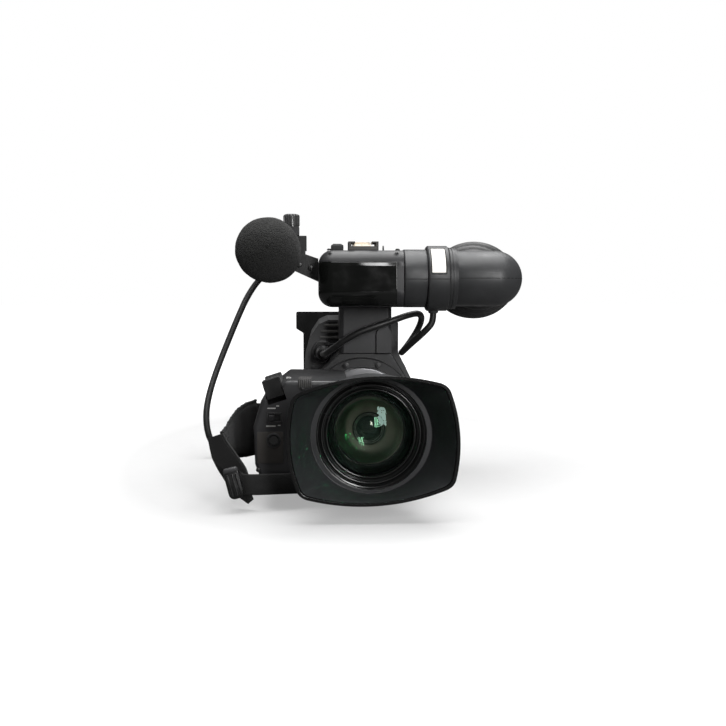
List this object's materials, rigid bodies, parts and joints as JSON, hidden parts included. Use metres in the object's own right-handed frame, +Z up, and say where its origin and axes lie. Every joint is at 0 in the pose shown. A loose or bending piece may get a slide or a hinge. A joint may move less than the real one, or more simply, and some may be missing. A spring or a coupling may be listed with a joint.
{
  "type": "shoulder camcorder",
  "caption": "Compact shoulder camcorder with servo zoom lens, hood, side viewfinder, foam covered microphone, hand strap, handle, fold-out monitor and rear battery.",
  "frame": {"origin": "mouth of the quarter inch tripod thread, in the plane of the base's underside", "axes": "+Z up, -Y the way the lens looks, +X to the camera's left, where the viewfinder and the monitor are"},
  "size_m": [0.2987, 0.4835, 0.227],
  "materials": {
    "black_plastic": "fine moulded texture",
    "body_shell": "painted, fine texture",
    "frame_metal": "black crackle paint",
    "control_plastic": "satin",
    "ring_rubber": "ribbed",
    "gloss_panel": "gloss",
    "bright_steel": "satin",
    "gear_steel": "machined",
    "lens_glass": "green coated",
    "lens_cells": "black anodised",
    "circuit": "laminate",
    "soft_rubber": "matt",
    "foam": "open cell foam",
    "strap_fabric": "padded",
    "strap_webbing": "woven",
    "cable_jacket": "satin",
    "plug_shell": "black"
  },
  "bodies": {
    "root": {"accessory_shoe": "bright_steel", "base_plate": "frame_metal", "battery_plate": "black_plastic", "cable_plugs": "plug_shell", "fasteners": "frame_metal", "front_element": "lens_glass", "front_housing": "frame_metal", "front_panel": "gloss_panel", "front_ring": "frame_metal", "grip_cap": "black_plastic", "grip_housing": "black_plastic", "handle_bar": "black_plastic", "inner_lens_cells": "lens_cells", "input_box": "body_shell", "left_cover": "body_shell", "lens_barrel": "black_plastic", "lens_hood": "black_plastic", "mic_cable": "cable_jacket", "mic_holder": "black_plastic", "microphone": "frame_metal", "panel_sockets": "bright_steel", "rear_pillar": "black_plastic", "right_cover": "body_shell", "ring_plate": "frame_metal", "sensor_and_boards": "circuit", "strap_pad": "strap_fabric", "strap_web": "strap_webbing", "viewfinder_bracket": "black_plastic", "viewfinder_cable": "cable_jacket", "windscreen": "foam", "zoom_motor": "gear_steel"},
    "focus_ring": {"focus_ring": "ring_rubber"},
    "zoom_ring": {"zoom_ring": "ring_rubber"},
    "zoom_pinion": {"zoom_pinion": "gear_steel"},
    "iris_ring": {"iris_ring": "ring_rubber"},
    "mount_lock_ring": {"mount_lock_ring": "gear_steel"},
    "hood_knob": {"hood_knob": "control_plastic"},
    "zoom_rocker": {"zoom_rocker": "black_plastic"},
    "record_button": {"record_button": "control_plastic"},
    "servo_switch": {"servo_switch": "control_plastic"},
    "return_button": {"return_button": "control_plastic"},
    "viewfinder": {"viewfinder_slide": "black_plastic", "viewfinder_drum": "black_plastic"},
    "eyepiece": {"eyepiece_elbow": "black_plastic", "eyepiece_lens": "lens_glass", "eyecup": "soft_rubber"},
    "diopter_ring": {"diopter_ring": "ring_rubber"},
    "mic_clamp": {"mic_clamp": "black_plastic"},
    "clamp_knob": {"clamp_knob": "control_plastic"},
    "shoulder_pad": {"shoulder_pad": "soft_rubber"},
    "battery": {"battery": "black_plastic"},
    "monitor": {"monitor": "black_plastic"},
    "card_door": {"card_door": "black_plastic"},
    "power_switch": {"power_switch": "control_plastic"},
    "level_knob_1": {"level_knob_1": "control_plastic"},
    "level_knob_2": {"level_knob_2": "control_plastic"},
    "filter_dial": {"filter_dial": "control_plastic"},
    "gain_switch": {"gain_switch": "bright_steel"},
    "handle_record_button": {"handle_record_button": "control_plastic"},
    "handle_zoom_rocker": {"handle_zoom_rocker": "control_plastic"}
  },
  "joints": [
    {"name": "focus_turn", "type": "hinge", "parent": "root", "child": "focus_ring", "pos_m": [0, -0.227, 0.058], "axis": [0, 1, 0], "range_deg": [0, 110]},
    {"name": "zoom_turn", "type": "hinge", "parent": "root", "child": "zoom_ring", "pos_m": [0, -0.194, 0.058], "axis": [0, 1, 0], "range_deg": [-60, 30]},
    {"name": "pinion_turn", "type": "hinge", "parent": "root", "child": "zoom_pinion", "pos_m": [-0.0432, -0.19, 0.058], "axis": [0, 1, 0], "range_deg": [-150, 300]},
    {"name": "iris_turn", "type": "hinge", "parent": "root", "child": "iris_ring", "pos_m": [0, -0.155, 0.058], "axis": [0, 1, 0], "range_deg": [-35, 35]},
    {"name": "mount_lock", "type": "hinge", "parent": "root", "child": "mount_lock_ring", "pos_m": [0, -0.1025, 0.058], "axis": [0, 1, 0], "range_deg": [0, 35]},
    {"name": "hood_clamp", "type": "hinge", "parent": "root", "child": "hood_knob", "pos_m": [0.0339, -0.244, 0.0241], "axis": [0.7071, 0, -0.7071], "range_deg": [0, 360]},
    {"name": "zoom_rock", "type": "hinge", "parent": "root", "child": "zoom_rocker", "pos_m": [-0.0706, -0.206, 0.0875], "axis": [0.9511, 0, 0.309], "range_deg": [-8, 8], "stiffness_Nm_per_rad": 0.05},
    {"name": "record_press", "type": "slide", "parent": "root", "child": "record_button", "axis": [0, -1, 0], "range_m": [0, 0.0012], "stiffness_N_per_m": 400},
    {"name": "servo_slide", "type": "slide", "parent": "root", "child": "servo_switch", "axis": [1, 0, 0], "range_m": [0, 0.0044]},
    {"name": "return_press", "type": "slide", "parent": "root", "child": "return_button", "axis": [0, 1, 0], "range_m": [0, 0.001], "stiffness_N_per_m": 300},
    {"name": "viewfinder_extend", "type": "slide", "parent": "root", "child": "viewfinder", "axis": [1, 0, 0], "range_m": [0, 0.018]},
    {"name": "eyepiece_tilt", "type": "hinge", "parent": "viewfinder", "child": "eyepiece", "pos_m": [0.0773, -0.127, 0.1725], "axis": [1, 0, 0], "range_deg": [-30, 100]},
    {"name": "diopter_turn", "type": "hinge", "parent": "eyepiece", "child": "diopter_ring", "pos_m": [0.107, -0.07, 0.1725], "axis": [0, 1, 0], "range_deg": [-60, 60]},
    {"name": "mic_clamp_open", "type": "hinge", "parent": "root", "child": "mic_clamp", "pos_m": [-0.096, -0.11, 0.1942], "axis": [0, -1, 0], "range_deg": [0, 100]},
    {"name": "clamp_screw", "type": "hinge", "parent": "mic_clamp", "child": "clamp_knob", "pos_m": [-0.0607, -0.11, 0.22], "axis": [0, 0, 1], "range_deg": [0, 360]},
    {"name": "shoulder_pad_slide", "type": "slide", "parent": "root", "child": "shoulder_pad", "axis": [0, -1, 0], "range_m": [0, 0.02]},
    {"name": "battery_slide", "type": "slide", "parent": "root", "child": "battery", "axis": [0, 0, 1], "range_m": [0, 0.03]},
    {"name": "monitor_open", "type": "hinge", "parent": "root", "child": "monitor", "pos_m": [0.05585, -0.0495, 0.047], "axis": [0, 0, -1], "range_deg": [0, 90]},
    {"name": "card_door_open", "type": "hinge", "parent": "root", "child": "card_door", "pos_m": [0.0503, 0.114, 0.0318], "axis": [0, 1, 0], "range_deg": [0, 100]},
    {"name": "power_turn", "type": "hinge", "parent": "root", "child": "power_switch", "pos_m": [0.05, 0.082, 0.036], "axis": [1, 0, 0], "range_deg": [0, 60]},
    {"name": "level_turn_1", "type": "hinge", "parent": "root", "child": "level_knob_1", "pos_m": [0.05, 0.062, 0.062], "axis": [1, 0, 0], "range_deg": [0, 280]},
    {"name": "level_turn_2", "type": "hinge", "parent": "root", "child": "level_knob_2", "pos_m": [0.05, 0.077, 0.062], "axis": [1, 0, 0], "range_deg": [0, 280]},
    {"name": "filter_turn", "type": "hinge", "parent": "root", "child": "filter_dial", "pos_m": [0.045, -0.076, 0.058], "axis": [1, 0, 0], "range_deg": [0, 270]},
    {"name": "gain_flip", "type": "hinge", "parent": "root", "child": "gain_switch", "pos_m": [0.0468, -0.076, 0.036], "axis": [0, 0, 1], "range_deg": [-12, 12]},
    {"name": "handle_record_press", "type": "slide", "parent": "root", "child": "handle_record_button", "axis": [0, 0, -1], "range_m": [0, 0.0012], "stiffness_N_per_m": 400},
    {"name": "handle_zoom_rock", "type": "hinge", "parent": "root", "child": "handle_zoom_rocker", "pos_m": [0, -0.039, 0.193], "axis": [1, 0, 0], "range_deg": [-6, 6], "stiffness_Nm_per_rad": 0.02}
  ],
  "couplings": [
    {"joint": "pinion_turn", "follows": "zoom_turn", "ratio": -5}
  ]
}
